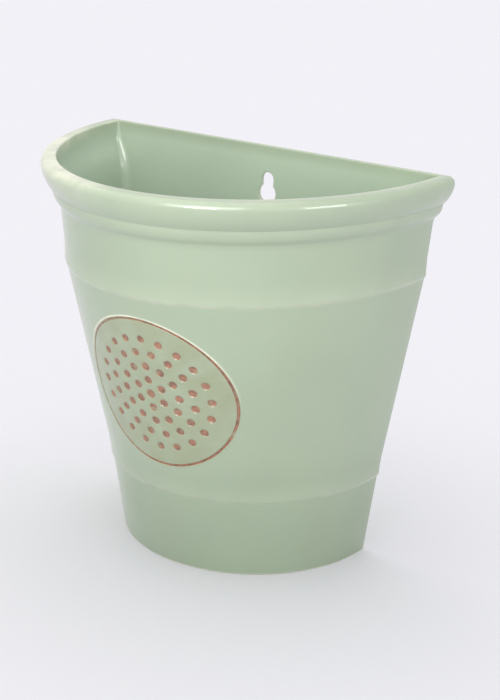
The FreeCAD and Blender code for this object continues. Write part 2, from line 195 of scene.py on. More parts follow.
def profile(proud):
    """The closed profile of the wall, up the outside, over the rim and down the inside.

    Each stretch has a name, the front's points (offset, level), the back's (y, level), the
    radius of the upright back corners at its ends, and the strength of its edge cream at its ends,
    which is partly abrasion and partly painted highlight.
    """
    near, far = 0.25 * proud, 0.75 * proud
    lip = 0.94 * proud
    inner = -WALL
    stretches = []

    def add(name, front, back=None, corner=(0.8, 0.8), wear=(0, 0)):
        plane = at_back(front, 0.0) if back is None else back
        stretches.append((name, front, plane, corner, wear))

    def step(name, level):
        add(name + "_under", np.concatenate([
            line((0, level - 0.7), (0, level - 0.5), 1),
            bend((0, level - 0.5), (0, level), (near, level + 0.5), 3),
            line((near, level + 0.5), (far, level + 1.5), 1),
        ]), wear=(0.0, 0.3))
        add(name + "_lip", bend((far, level + 1.5), (proud, level + 2), (lip, level + 2.7), 4),
            wear=(0.3, 0.12))
        add(name + "_flare", bend((lip, level + 2.7), (0.3 * proud, level + 7),
                                  (0, level + 13.5), 7), wear=(0.1, 0.0))

    recess = line((inner, 5.5), (inner, 0.6), 2)
    foot_in = bend((inner, 0.6), (inner, 0), (-2.4, 0), 4)
    foot = line((-2.4, 0), (-0.6, 0), 2)
    add("recess", recess, along_offset(recess))
    add("foot_in", foot_in, along_offset(foot_in), wear=(0, 0.4))
    add("foot", foot, along_offset(foot), wear=(0.3, 0.5))
    foot_out = bend((-0.6, 0), (0, 0), (0, 0.6), 4)
    add("foot_out", foot_out, along_offset(foot_out), wear=(0.7, 0.7))
    add("foot_rise", line((0, 0.6), (0, 1.2), 1), wear=(0.5, 0.2))
    add("foot_wall", line((0, 1.2), (0, 51.8), 8))
    step("waist", WAIST)
    add("band", line((0, 66), (0, 182), 120))
    add("band_top", line((0, 182), (0, 185.3), 2))
    step("shoulder", SHOULDER)
    add("above_shoulder", line((0, 199.5), (0, 209.3), 4))
    add("neck", line((0, 209.3), (0, 220.6), 9))
    add("neck_turn", bend((0, 220.6), (0, 222.6), (1.1, 224.2), 3))
    add("moulding", bulge((1.1, 224.2), (5.3, 232.8), 11.5, 8), wear=(0, 0.1))
    add("bead", bulge((5.3, 232.8), (11.555, 245.186), 22.0, 8), wear=(0, 0.05))
    add("roll", arc((7.39, 245.8), 4.2, -0.147, math.pi / 2, 12),
        line((0, 245.186), (0, 249.2), 12), wear=(0.05, 0.15))
    add("rim_top", line((7.39, TOP), (3.4, TOP), 4),
        bend((0, 249.2), (0, TOP), (-0.8, TOP), 4), wear=(0.15, 0.3))
    add("mouth_lip", bend((3.4, TOP), (2.4, TOP), (2.4, 249), 4), np.concatenate([
        line((-0.8, TOP), (-2.2, TOP), 1),
        bend((-2.2, TOP), (inner, TOP), (inner, 249.2), 3),
    ]), corner=(0.8, 1.2), wear=(0.5, 0.6))
    add("mouth", line((2.4, 249), (2.4, 242), 4), line((inner, 249.2), (inner, 242), 4),
        corner=(1.2, 3), wear=(0.2, 0))
    for name, front, corner in (
        ("mouth_foot", bend((2.4, 242), (2.4, 238), (0.66, 233), 8), (3, 3.8)),
        ("flare", line((0.66, 233), (-1.08, 228), 4), (3.8, 4.8)),
        ("inner_neck", bend((-1.08, 228), (inner, NECK), (inner, 216), 9), (4.8, 6)),
        ("throat_top", line((inner, 216), (inner, 209), 4), (6, 6)),
        ("throat_high", line((inner, 209), (inner, SHOULDER), 4), (6, 6)),
        ("throat", line((inner, SHOULDER), (inner, WAIST), 14), (6, 6)),
        ("throat_low", line((inner, WAIST), (inner, 13), 6), (6, 6)),
    ):
        add(name, front, at_back(front, inner), corner)
    fillet = arc((-9, 13), 6.0, 0, -math.pi / 2, 8)
    add("floor_round", fillet, along_offset(fillet), corner=(6, 0.8))
    under = np.array([(-9.2, 6.97), (-9.2, 5.5)])
    add("floor_lap", under, along_offset(under))
    return stretches


def eased(values, count):
    """count values on the straight line between two, without the second."""
    return values[0] + (values[1] - values[0]) * np.arange(count) / count


def wall_points(stretches):
    """Points of the wall on a grid: profile rows by columns round the pot.

    Front: x = w cos t + e nx, y = -(d sin t) - e ny for t from one back corner to the other,
    with (nx, ny) the oval's normal and e the profile's offset. Then a quarter round of the
    corner's radius, the straight back and the other quarter round.
    """
    front = np.concatenate([s[1] for s in stretches])
    back = np.concatenate([s[2] for s in stretches])
    corner = np.concatenate([eased(s[3], len(s[1])) for s in stretches])[:, None]
    wear = np.concatenate([eased(s[4], len(s[1])) for s in stretches])[:, None]
    e, level = front[:, :1], front[:, 1:]
    plane, back_level = back[:, :1], back[:, 1:]
    w, d = wall_size(level)

    low, high = SIDE_TURN / 180, 1 - SIDE_TURN / 180
    side_turn = math.radians(SIDE_TURN)
    v = np.concatenate([
        np.linspace(0, low, FRONT_SIDE + 1)[:-1],
        np.linspace(low, high, FRONT_MIDDLE + 1)[:-1],
        np.linspace(high, 1, FRONT_SIDE + 1),
    ])[None]
    first = np.arcsin((corner - plane) / (d + e * w / d))
    t = np.where(v <= low, first + (side_turn - first) * v / low, math.pi * v)
    t = np.where(v >= high, math.pi - first - (side_turn - first) * (1 - v) / low, t)
    stretch = np.hypot(d * np.cos(t), w * np.sin(t))
    front_x = w * np.cos(t) + e * d * np.cos(t) / stretch
    front_y = -d * np.sin(t) - e * w * np.sin(t) / stretch

    reach = front_x[:, :1]
    turn = np.radians(90 * np.arange(1, CORNER + 1) / (CORNER + 1))[None]
    corner_x = reach - corner + corner * np.cos(turn)
    corner_y = plane - corner + corner * np.sin(turn)
    share = turn / math.radians(90)
    corner_z = level + (back_level - level) * share

    end = reach - corner
    right = np.concatenate([np.broadcast_to(BACK_SIDE, (len(e), 2)), end - BACK_END, end],
                           axis=1)
    key = np.broadcast_to(np.linspace(-KEY_REACH, KEY_REACH, 2 * KEY_HALF + 1),
                          (len(e), 2 * KEY_HALF + 1))
    back_x = np.concatenate([-right[:, ::-1], key, right], axis=1)
    back_y = np.broadcast_to(plane, back_x.shape)
    back_z = np.broadcast_to(back_level, back_x.shape)

    x = np.concatenate([front_x, -corner_x, back_x, corner_x[:, ::-1]], axis=1)
    y = np.concatenate([front_y, corner_y, back_y, corner_y[:, ::-1]], axis=1)
    z = np.concatenate([np.broadcast_to(level, front_x.shape), corner_z, back_z,
                        corner_z[:, ::-1]], axis=1)
    return np.stack([x, y, z], axis=2), np.broadcast_to(wear, x.shape).copy()


def grid_quads(ids, rows_close, columns_close):
    """Quads between neighbouring rows and columns of a grid of point numbers."""
    up = np.roll(ids, -1, axis=0)
    over = np.roll(ids, -1, axis=1)
    both = np.roll(up, -1, axis=1)
    quads = np.stack([ids, up, both, over], axis=2)
    quads = quads if rows_close else quads[:-1]
    return quads if columns_close else quads[:, :-1]


def square_ring(half):
    """Row and column steps round a square, anticlockwise from the middle of its right side."""
    side = np.arange(-half, half)
    column = np.concatenate([np.full(half, half), -side, np.full(2 * half, -half), side,
                             np.full(half, half)])
    row = np.concatenate([np.arange(half), np.full(2 * half, half), -side,
                          np.full(2 * half, -half), np.arange(-half, 0)])
    return row, column


def square_angle(row, column):
    """The angle of a step from a square's middle, even along the square's sides."""
    wide = np.abs(column) >= np.abs(row)
    slope = np.where(wide, row, -column) / np.where(wide, column, row)
    turn = np.where(wide, np.where(column > 0, 0, 2), np.where(row > 0, 1, 3))
    return (slope * math.pi / 4 + turn * math.pi / 2) % (2 * math.pi)


def opened(points, plane, centre, half, block, signs, outline):
    """Spreads a square window of a grid round a hole in its middle.

    A point at the share s of the way from the window's middle to its edge moves to
    O + (E - O) * (s - b) / (1 - b), where E is the window's edge and O the hole's outline in
    the same direction and b is the block's share of the window. plane gives the two axes that
    it moves in. Returns the point numbers round the hole.
    """
    row, column = np.mgrid[-half:half + 1, -half:half + 1].astype(float)
    reach = np.maximum(np.abs(row), np.abs(column))
    reach[half, half] = 1
    column[half, half] = 1
    edge_row, edge_column = row * half / reach, column * half / reach
    low_row, low_column = np.floor(edge_row).astype(int), np.floor(edge_column).astype(int)
    high_row, high_column = np.minimum(low_row + 1, half), np.minimum(low_column + 1, half)
    part_row, part_column = edge_row - low_row, edge_column - low_column
    angle = square_angle(row * signs[0], column * signs[1])
    share = np.clip((reach / half - block / half) / (1 - block / half), 0, 1)
    window = (slice(centre[0] - half, centre[0] + half + 1),
              slice(centre[1] - half, centre[1] + half + 1))
    for axis, hole in zip(plane, outline(angle)):
        old = points[window][..., axis].copy()
        low = (old[low_row + half, low_column + half] * (1 - part_column)
               + old[low_row + half, high_column + half] * part_column)
        high = (old[high_row + half, low_column + half] * (1 - part_column)
                + old[high_row + half, high_column + half] * part_column)
        edge = low * (1 - part_row) + high * part_row
        points[window][..., axis] = hole + (edge - hole) * share
    ring_row, ring_column = square_ring(block)
    return ((centre[0] + ring_row * signs[0]) * points.shape[1]
            + centre[1] + ring_column * signs[1])


def without_block(quads, centre, block):
    """Marks the quads of a grid that lie outside a block."""
    keep = np.ones(quads.shape[:2], dtype=bool)
    keep[centre[0] - block:centre[0] + block, centre[1] - block:centre[1] + block] = False
    return keep


def ring_quads(first, second):
    """Quads between two closed rings of point numbers."""
    return np.stack([first, np.roll(first, -1), np.roll(second, -1), second], axis=1)


def keyhole(angle, grow=0.0):
    """The keyhole's outline (x, level) at an angle seen from its middle.

    It is the farthest way out of its three parts: the head's circle, the slot's two straight
    sides between the circles' levels, and the end's circle.
    """
    cos, sin = np.cos(angle), np.sin(angle)

    def out_of(circle):
        drop = circle[0] - KEYHOLE_MIDDLE
        radius = circle[1] + grow
        return drop * sin + np.sqrt(np.maximum(radius ** 2 - (drop * cos) ** 2, 0))

    side = KEYHOLE_END[1] + grow
    slot = side / np.maximum(np.abs(cos), 1e-6)
    level = slot * sin
    in_slot = (level > KEYHOLE_HEAD[0] - KEYHOLE_MIDDLE) & (level < KEYHOLE_END[0] - KEYHOLE_MIDDLE)
    out = np.maximum(out_of(KEYHOLE_HEAD), out_of(KEYHOLE_END))
    out = np.where(in_slot, np.maximum(out, slot), out)
    return out * cos, KEYHOLE_MIDDLE + out * sin


def circle(middle, radius):
    """An outline function: middle + radius * (cos, sin)."""
    return lambda angle: (middle[0] + radius * np.cos(angle), middle[1] + radius * np.sin(angle))


# ---------------------------------------------------------------- carved round panel
def smooth(low, high, value):
    """0 below low, 1 above high, and the smooth cubic 3s^2 - 2s^3 between them."""
    s = np.clip((value - low) / (high - low), 0, 1)
    return s * s * (3 - 2 * s)


def dots(r, angle):
    """How far inside a dot each point is: 1 on its floor, 0 outside.

    With q the distance outwards from a dot's middle and s the distance round the ring, a dot is
    sqrt(q^2 + s^2) < its radius, softened at its edge.
    """
    inside = 1 - smooth(0.6, 1.12, r / MIDDLE_DOT)
    for radius, count, turn, size in DOT_RINGS:
        step = (angle / (2 * math.pi) * count + turn) % 1 - 0.5
        round_it = step * 2 * math.pi / count * r
        span = np.hypot(r - radius, round_it) / size
        inside = np.maximum(inside, 1 - smooth(0.6, 1.12, span))
    return inside


def decor(sizes, columns):
    """The round panel as rings by columns: x, level, depth, wash and the cream of a painted
    highlight on the groove's lip.

    Ring lines lie at radius r, from the outline inwards. Depth is the groove,
    1 - smooth(0.15, 1.05, |r - groove radius| / half its width), or the dots, less a low lip
    outside the groove, exp(-((r - lip radius) / lip width)^2).
    """
    groove_radius = sizes.groove_radius / MM
    half = sizes.groove_width / MM / 2
    radii = [DECOR_REACH, groove_radius + 2 * half, groove_radius - 2 * half, DOTS_REACH,
             MIDDLE_DOT + 1, 0.25]
    counts = (6, 15, 5, 76, 9)
    r = np.concatenate([np.linspace(far, near, count)[1:]
                        for far, near, count in zip(radii[:-1], radii[1:], counts)])[:, None]
    angle = 2 * math.pi * np.arange(columns)[None] / columns
    from_groove = np.abs(r - groove_radius) / half
    groove = 1 - smooth(0.15, 1.05, from_groove)
    pressed = dots(r, angle)
    depth = sizes.groove_depth / MM * groove + sizes.dot_depth / MM * pressed
    depth = np.broadcast_to(depth, (len(r), columns))
    # The wash is heaviest to the lower right and fades to the lower left.
    heavy = 0.5 + 0.5 * np.cos(angle + math.radians(35))
    ring_wash = (1 - smooth(0.4, 1.05, from_groove)) * (0.6 + 0.4 * heavy)
    # A faint haze of the wash is left all over the inside of the ring.
    haze = HAZE * (1 - smooth(groove_radius - 2 * half, groove_radius, r))
    wash = np.maximum(np.maximum(ring_wash, pressed), haze)
    outer_lip = np.exp(-((r - groove_radius - 1.3 * half) / (0.55 * half)) ** 2)
    # Painted highlight: cream is painted on the groove's outer lip along the top side of the ring,
    # where light falls.
    highlight_side = smooth(-0.1, 0.6, np.sin(angle))
    wear = 1.4 * outer_lip * highlight_side
    depth = depth - 0.2 * outer_lip
    x = sizes.decor_side / MM + r * np.cos(angle)
    level = sizes.decor_level / MM + r * np.sin(angle)
    return x, level, depth, wash, wear


def pressed_in(x, level, depth):
    """Points on the wall at (x, level), moved in by a depth along the oval's level normal."""
    width, reach = wall_size(level)
    y = wall_y(x, level)
    nx, ny = x / width ** 2, y / reach ** 2
    length = np.hypot(nx, ny)
    return np.stack([x - depth * nx / length, y - depth * ny / length, level], axis=2)


# ---------------------------------------------------------------- meshes
def piece(name, points, quads, triangles=None, **attributes):
    """A smooth mesh object at the origin, from points in mm and faces of point numbers.

    Unused points are left out. Each attribute is a value at every point.
    """
    faces = [quads] if triangles is None else [quads, triangles]
    loops = np.concatenate([f.ravel() for f in faces])
    totals = np.concatenate([np.full(len(f), f.shape[1]) for f in faces])
    used, loops = np.unique(loops, return_inverse=True)
    shift = np.array([0.0, BACK_PLANE, 0.0])
    mesh = bpy.data.meshes.new(name)
    mesh.vertices.add(len(used))
    mesh.vertices.foreach_set("co", ((points[used] + shift) * MM).ravel())
    mesh.loops.add(len(loops))
    mesh.loops.foreach_set("vertex_index", loops.astype(np.int32))
    mesh.polygons.add(len(totals))
    starts = np.concatenate([[0], np.cumsum(totals)[:-1]])
    mesh.polygons.foreach_set("loop_start", starts.astype(np.int32))
    mesh.polygons.foreach_set("loop_total", totals.astype(np.int32))
    mesh.update(calc_edges=True)
    mesh.validate()
    for key, values in attributes.items():
        layer = mesh.attributes.new(key, "FLOAT", "POINT")
        layer.data.foreach_set("value", values[used].astype(np.float32))
    mesh.polygons.foreach_set("use_smooth", np.ones(len(totals), dtype=bool))
    mesh.set_sharp_from_angle(angle=SHARP_ANGLE)
    item = bpy.data.objects.new(name, mesh)
    bpy.context.scene.collection.objects.link(item)
    return item


def make_wall(sizes):
    """The wall, foot and rim as one closed skin with its keyhole and the carved panel."""
    stretches = profile(sizes.step_proud / MM)
    names = [s[0] for s in stretches]
    starts = dict(zip(names, np.concatenate([[0], np.cumsum([len(s[1]) for s in stretches])])))
    grid, wear = wall_points(stretches)
    rows, columns = grid.shape[:2]
    # The flat back's top edge gets little of the edge cream.
    first_back = FRONT_SIDE * 2 + FRONT_MIDDLE + 1
    wear[starts["rim_top"]:starts["mouth_foot"], first_back:] *= 0.25
    # Painted highlight: cream is painted over the left end of the rim, where warm light from the
    # left falls.
    around = np.degrees(np.arctan2(-grid[..., 1] / DEPTHS[-1], grid[..., 0] / HALF_WIDTHS[-1]))
    highlighted = smooth(86, 110, around) * (1 - smooth(150, 178, around))
    highlighted[:, first_back:] = 0
    reach = np.interp(np.arange(rows),
                      [starts[name] for name in ("bead", "roll", "rim_top", "mouth", "mouth_foot")],
                      [0.0, 0.4, 1.2, 1.2, 0.0])
    wear = np.maximum(wear, reach[:, None] * highlighted)
    # Painted light: this mask gives the inside a lighter colour, standing in for the light that
    # falls into the pot.
    inside = np.clip((np.arange(rows) - starts["mouth"]) / 4, 0, 1)
    inside = np.repeat(inside, columns)
    ids = np.arange(rows * columns).reshape(rows, columns)
    quads = grid_quads(ids, True, True)

    # The round panel's window on the front.
    middle = (starts["band"] + DECOR_HALF, FRONT_SIDE + FRONT_MIDDLE // 2)
    centre = (sizes.decor_side / MM, sizes.decor_level / MM)
    panel_ring = opened(grid, (0, 2), middle, DECOR_HALF, DECOR_BLOCK, (1, -1),
                        circle(centre, DECOR_REACH))
    window = (slice(middle[0] - DECOR_HALF, middle[0] + DECOR_HALF + 1),
              slice(middle[1] - DECOR_HALF, middle[1] + DECOR_HALF + 1))
    grid[window][..., 1] = wall_y(grid[window][..., 0], grid[window][..., 2])
    keep = without_block(quads, middle, DECOR_BLOCK)

    # The keyhole's windows on the back, outside and inside.
    back_column = first_back + CORNER + 4 + KEY_HALF
    key_rings = []
    for name, up in (("neck", 1), ("mouth_foot", -1)):
        spot = (starts[name] + KEY_HALF, back_column)
        key_rings.append(opened(grid, (0, 2), spot, KEY_HALF, KEY_BLOCK, (up, 1),
                                lambda angle: keyhole(angle, KEYHOLE_SOFT)))
        keep &= without_block(quads, spot, KEY_BLOCK)
    quads = quads[keep]

    points = [grid.reshape(-1, 3)]
    wears = [wear.ravel()]
    washes = [np.zeros(rows * columns)]
    total = rows * columns

    def more(extra, wear_there, wash_there):
        nonlocal total
        numbers = total + np.arange(len(extra))
        total += len(extra)
        points.append(extra)
        wears.append(wear_there)
        washes.append(wash_there)
        return numbers

    outer_key, inner_key = key_rings
    angle = 2 * math.pi * np.arange(8 * KEY_BLOCK) / (8 * KEY_BLOCK)
    key_x, key_level = keyhole(angle)
    tube = [inner_key]
    for y in (KEYHOLE_SOFT - WALL, -WALL / 2, -KEYHOLE_SOFT):
        ring = np.stack([key_x, np.full(len(angle), y), key_level], axis=1)
        tube.append(more(ring, np.full(len(angle), 0.3), np.zeros(len(angle))))
    tube.append(outer_key)
    keyhole_quads = [ring_quads(a, b) for a, b in zip(tube[:-1], tube[1:])]

    x, level, depth, wash, panel_wear = decor(sizes, 8 * DECOR_BLOCK)
    panel = pressed_in(x, level, depth)
    numbers = more(panel.reshape(-1, 3), panel_wear.ravel(), wash.ravel()).reshape(x.shape)
    panel_quads = [ring_quads(panel_ring, numbers[0])]
    panel_quads += [ring_quads(a, b) for a, b in zip(numbers[:-1], numbers[1:])]
    pole_x, pole_level = np.array([[centre[0]]]), np.array([[centre[1]]])
    pole_depth = np.array([[sizes.dot_depth / MM]])
    pole = more(pressed_in(pole_x, pole_level, pole_depth).reshape(1, 3), np.zeros(1), np.ones(1))
    last = numbers[-1]
    fan = np.stack([last, np.roll(last, -1), np.full(len(last), pole[0])], axis=1)

    return piece("pot_wall", np.concatenate(points),
                 np.concatenate([quads] + keyhole_quads + panel_quads), fan,
                 wear=np.concatenate(wears), wash=np.concatenate(washes),
                 inside=np.concatenate([inside, np.zeros(total - len(inside))]))


def make_floor():
    """The floor plate with its drain holes: two sheets on a grid, joined round edge and holes.

    Both sheets: y runs from the front to the back by even steps of the angle a,
    y = yb - (d + yb) * (1 - sin a), with yb the plate's back edge and d its depth, and
    x = share * the half width there, w * sqrt(1 - (y/d)^2).
    """
    w, d = (size - FLOOR_INSET for size in wall_size((FLOOR_TOP + FLOOR_UNDERSIDE) / 2))
    turn = np.linspace(0.0, math.pi / 2, FLOOR_ROWS + 1)[:, None]
    y = -FLOOR_INSET - (d - FLOOR_INSET) * (1 - np.sin(turn))
    half_width = w * np.sqrt(np.maximum(1 - (y / d) ** 2, 0)) + 0.02
    share = np.linspace(-1, 1, FLOOR_COLUMNS + 1)[None]
    x = half_width * share
    y = np.broadcast_to(y, x.shape)
    ids = np.arange(x.size).reshape(x.shape)
    points = []
    faces = []
    rings = []
    for side, level in enumerate((FLOOR_TOP, FLOOR_UNDERSIDE)):
        sheet = np.stack([x, y, np.full(x.shape, level)], axis=2)
        quads = grid_quads(ids, False, False)
        keep = np.ones(quads.shape[:2], dtype=bool)
        for spot in DRAINS:
            far = np.hypot(x - spot[0], y - spot[1])
            middle = np.unravel_index(np.argmin(far), far.shape)
            ring = opened(sheet, (0, 1), middle, DRAIN_HALF, DRAIN_BLOCK, (1, 1),
                          circle(spot, DRAIN_RADIUS + DRAIN_SOFT))
            rings.append(ring + side * x.size)
            keep &= without_block(quads, middle, DRAIN_BLOCK)
        quads = quads[keep]
        # Rows run back and columns right, so quads as made look down.
        quads = quads[:, ::-1] if side == 0 else quads
        faces.append(quads + side * x.size)
        points.append(sheet.reshape(-1, 3))
    total = 2 * x.size
    edge = np.concatenate([ids[0, :-1], ids[:-1, -1], ids[-1, :0:-1], ids[:0:-1, 0]])
    faces.append(ring_quads(edge, edge + x.size)[:, ::-1])
    angle = 2 * math.pi * np.arange(8 * DRAIN_BLOCK) / (8 * DRAIN_BLOCK)
    for number, spot in enumerate(DRAINS):
        hole_x, hole_y = circle(spot, DRAIN_RADIUS)(angle)
        tube = [rings[number]]
        for level in (FLOOR_TOP - DRAIN_SOFT, FLOOR_UNDERSIDE + DRAIN_SOFT):
            points.append(np.stack([hole_x, hole_y, np.full(len(angle), level)], axis=1))
            tube.append(total + np.arange(len(angle)))
            total += len(angle)
        tube.append(rings[number + len(DRAINS)])
        faces += [ring_quads(a, b) for a, b in zip(tube[:-1], tube[1:])]
    points = np.concatenate(points)
    nothing = np.zeros(len(points))
    # Painted light: the plate's top sheet takes the lighter inside colour.
    inside = (points[:, 2] > FLOOR_TOP - 1).astype(float)
    return piece("pot_floor", points, np.concatenate(faces), wear=nothing, wash=nothing,
                 inside=inside)


def make_plug(name, spot, seat, columns):
    """A push-in plug: its profile (radius, level) turned round an upright axis at spot.

    x = spot x + radius cos a, y = spot y + radius sin a, z = seat + level. The profile runs from
    the dimple below, out round the flange, up the nose, over its lip and down its hollow.
    """
    rise = np.concatenate([
        line((0.4, -1.6), (1.6, -1.62), 2),
        bend((1.6, -1.62), (2.3, -1.64), (3.0, -2.05), 4),
        line((3.0, -2.05), (6.2, -2.2), 4),
        line((6.2, -2.2), (8.2, -2.2), 3),
        arc((8.2, -1.4), 0.8, -math.pi / 2, 0, 6),
        line((9.0, -1.4), (9.0, -0.3), 2),
        bend((9.0, -0.3), (9.0, 0), (8.7, 0), 3),
        line((8.7, 0), (6.3, 0), 3),
        bend((6.3, 0), (5.92, 0), (5.92, 0.4), 3),
        line((5.92, 0.4), (5.92, 2.8), 4),
        bend((5.92, 2.8), (5.92, 3.1), (5.8, 3.45), 3),
        line((5.8, 3.45), (5.12, 5.4), 4),
        bend((5.12, 5.4), (5.02, 5.7), (4.7, 5.7), 4),
        line((4.7, 5.7), (3.6, 5.7), 2),
        bend((3.6, 5.7), (3.22, 5.7), (3.22, 5.3), 3),
        line((3.22, 5.3), (3.22, 0.6), 5),
        bend((3.22, 0.6), (3.22, 0), (2.6, 0), 4),
        line((2.6, 0), (0.4, 0), 3),
        np.array([(0.4, 0.0)]),
    ])
    turn = 2 * math.pi * np.arange(columns)[None] / columns
    r, level = rise[:, :1], rise[:, 1:]
    grid = np.stack([spot[0] + r * np.cos(turn), spot[1] + r * np.sin(turn),
                     np.broadcast_to(seat + level, (len(rise), columns))], axis=2)
    ids = np.arange(grid.shape[0] * columns).reshape(-1, columns)
    quads = grid_quads(ids, False, True).reshape(-1, 4)[:, ::-1]
    poles = np.array([(spot[0], spot[1], seat - 1.6), (spot[0], spot[1], seat)])
    points = np.concatenate([grid.reshape(-1, 3), poles])
    low, high = ids[0], ids[-1]
    fans = np.concatenate([
        np.stack([np.roll(low, -1), low, np.full(columns, ids.size)], axis=1),
        np.stack([high, np.roll(high, -1), np.full(columns, ids.size + 1)], axis=1),
    ])
    return piece(name, points, quads, fans)


# ---------------------------------------------------------------- finishes
MIX_SHARE, MIX_FIRST, MIX_SECOND, MIX_COLOUR = 0, 6, 7, 2  # a colour Mix node's sockets


class Finish:
    """A material whose nodes are added one by one and wired by name."""

    def __init__(self, name):
        self.material = bpy.data.materials.new(name)
        self.material.use_nodes = True
        self.tree = self.material.node_tree
        self.tree.nodes.clear()
        self.shader = self.tree.nodes.new("ShaderNodeBsdfPrincipled")
        output = self.tree.nodes.new("ShaderNodeOutputMaterial")
        self.join(self.shader.outputs["BSDF"], output.inputs["Surface"])
        self.place = self.tree.nodes.new("ShaderNodeTexCoord").outputs["Object"]

    def join(self, source, target):
        self.tree.links.new(source, target)

    def set(self, **values):
        """Sets the shader's own sockets; an underscore stands for a space in a socket's name."""
        for name, value in values.items():
            self.shader.inputs[name.replace("_", " ")].default_value = value

    def noise(self, scale, detail=3.0, roughness=0.5, distortion=0.0):
        node = self.tree.nodes.new("ShaderNodeTexNoise")
        node.inputs["Scale"].default_value = scale
        node.inputs["Detail"].default_value = detail
        node.inputs["Roughness"].default_value = roughness
        node.inputs["Distortion"].default_value = distortion
        self.join(self.place, node.inputs["Vector"])
        return node.outputs["Fac"]

    def attribute(self, name):
        node = self.tree.nodes.new("ShaderNodeAttribute")
        node.attribute_name = name
        return node.outputs["Fac"]

    def span(self, value, low, high, to_low=0.0, to_high=1.0):
        """The value taken from low..high to to_low..to_high, smoothly, and held at the ends."""
        node = self.tree.nodes.new("ShaderNodeMapRange")
        node.interpolation_type = "SMOOTHSTEP"
        self.join(value, node.inputs["Value"])
        for socket, number in (("From Min", low), ("From Max", high),
                               ("To Min", to_low), ("To Max", to_high)):
            node.inputs[socket].default_value = number
        return node.outputs["Result"]

    def math(self, operation, first, second):
        node = self.tree.nodes.new("ShaderNodeMath")
        node.operation = operation
        for socket, value in zip(node.inputs, (first, second)):
            if isinstance(value, (int, float)):
                socket.default_value = value
            else:
                self.join(value, socket)
        return node.outputs["Value"]

    def mix(self, share, first, second, blend="MIX"):
        """The colour first where share is 0 and second where it is 1."""
        node = self.tree.nodes.new("ShaderNodeMix")
        node.data_type = "RGBA"
        node.blend_type = blend
        self.join(share, node.inputs[MIX_SHARE])
        for number, value in ((MIX_FIRST, first), (MIX_SECOND, second)):
            if isinstance(value, (tuple, list)):
                node.inputs[number].default_value = (*value, 1.0)
            else:
                self.join(value, node.inputs[number])
        return node.outputs[MIX_COLOUR]

    def tint(self, share, colour, factors):
        """The colour, multiplied by factors where share is 1."""
        return self.mix(share, colour, factors, "MULTIPLY")

    def height(self):
        """The level above the ground in metres."""
        node = self.tree.nodes.new("ShaderNodeSeparateXYZ")
        self.join(self.place, node.inputs["Vector"])
        return node.outputs["Z"]

    def bump(self, height, strength, distance, under=None):
        node = self.tree.nodes.new("ShaderNodeBump")
        node.inputs["Strength"].default_value = strength
        node.inputs["Distance"].default_value = distance
        self.join(height, node.inputs["Height"])
        if under is not None:
            self.join(under, node.inputs["Normal"])
        return node.outputs["Normal"]


def scaled(colour, factor):
    """A colour times a factor."""
    return [channel * factor for channel in colour]


def sage_finish(looks):
    """Moulded sage plastic with a satin skin, a clay wash worked into its carving, cream edges that
    are partly abrasion and partly painted highlight, a painted lighter inside and painted shade
    towards the foot.
    """
    f = Finish("sage_satin")
    f.set(IOR=1.5, Specular_IOR_Level=0.5, Coat_Weight=0.6, Coat_Roughness=0.05)
    # Painted light: the inside takes a lighter copy of the sage, standing in for the light that
    # falls into the pot.
    colour = f.mix(f.attribute("inside"), list(looks.sage), list(looks.inner))
    broad = f.span(f.noise(9, 3, 0.5), 0.35, 0.65)
    colour = f.tint(broad, colour, (0.94, 0.94, 0.94))
    cloud = f.span(f.noise(45, 4, 0.6, 0.4), 0.3, 0.75, 0.0, 0.35)
    colour = f.tint(cloud, colour, (1.03, 1.01, 0.98))
    fleck = f.span(f.noise(900, 2, 0.5), 0.68, 0.8, 0.0, 0.25)
    colour = f.tint(fleck, colour, (0.82, 0.82, 0.82))
    # Painted shade: the colour is darkened towards the foot, where less light reaches the lower
    # wall.
    colour = f.tint(f.span(f.height(), 0.025, 0.095, 1.0, 0.0), colour, (0.85, 0.87, 0.85))

    # Painted highlight: cream is mixed in where the edge attribute is set, mottled like abrasion.
    # On the edges it is partly abrasion, and on the rim's left end and the groove's lip it is
    # highlight.
    cream_mottle = f.span(f.noise(70, 4, 0.6), 0.25, 0.75, 0.45, 1.0)
    worn_and_highlit = f.math("MULTIPLY", f.attribute("wear"), cream_mottle)
    colour = f.mix(worn_and_highlit, colour, list(looks.cream))

    wash = f.attribute("wash")
    haze = f.math("MULTIPLY", f.span(wash, 0.0, HAZE), f.span(f.noise(60, 4), 0.3, 0.7, 0.2, 0.48))
    colour = f.mix(haze, colour, list(looks.haze))
    patch = f.span(f.noise(210, 5, 0.65, 0.3), 0.22, 0.48)
    washed = f.math("MULTIPLY", f.span(wash, 0.2, 0.8), patch)
    washed = f.math("MULTIPLY", washed, 0.92)
    clay_tone = f.mix(f.span(f.noise(330, 3), 0.3, 0.65), scaled(looks.clay, 0.75),
                      scaled(looks.clay, 1.35))
    colour = f.mix(washed, colour, clay_tone)
    f.join(colour, f.shader.inputs["Base Color"])

    rough = f.span(f.noise(30, 4, 0.6), 0.3, 0.7, looks.roughness - 0.05, looks.roughness + 0.06)
    rough = f.math("ADD", rough, f.math("MULTIPLY", washed, 0.35))
    f.join(rough, f.shader.inputs["Roughness"])

    skin = f.bump(f.noise(420, 2, 0.5), 0.10, 0.0004)
    flow = f.bump(f.noise(38, 2, 0.5), 0.10, 0.0012, skin)
    grit = f.math("MULTIPLY", f.noise(700, 4, 0.6), f.span(wash, 0.1, 0.7))
    f.join(f.bump(grit, 0.35, 0.0006, flow), f.shader.inputs["Normal"])
    return f.material


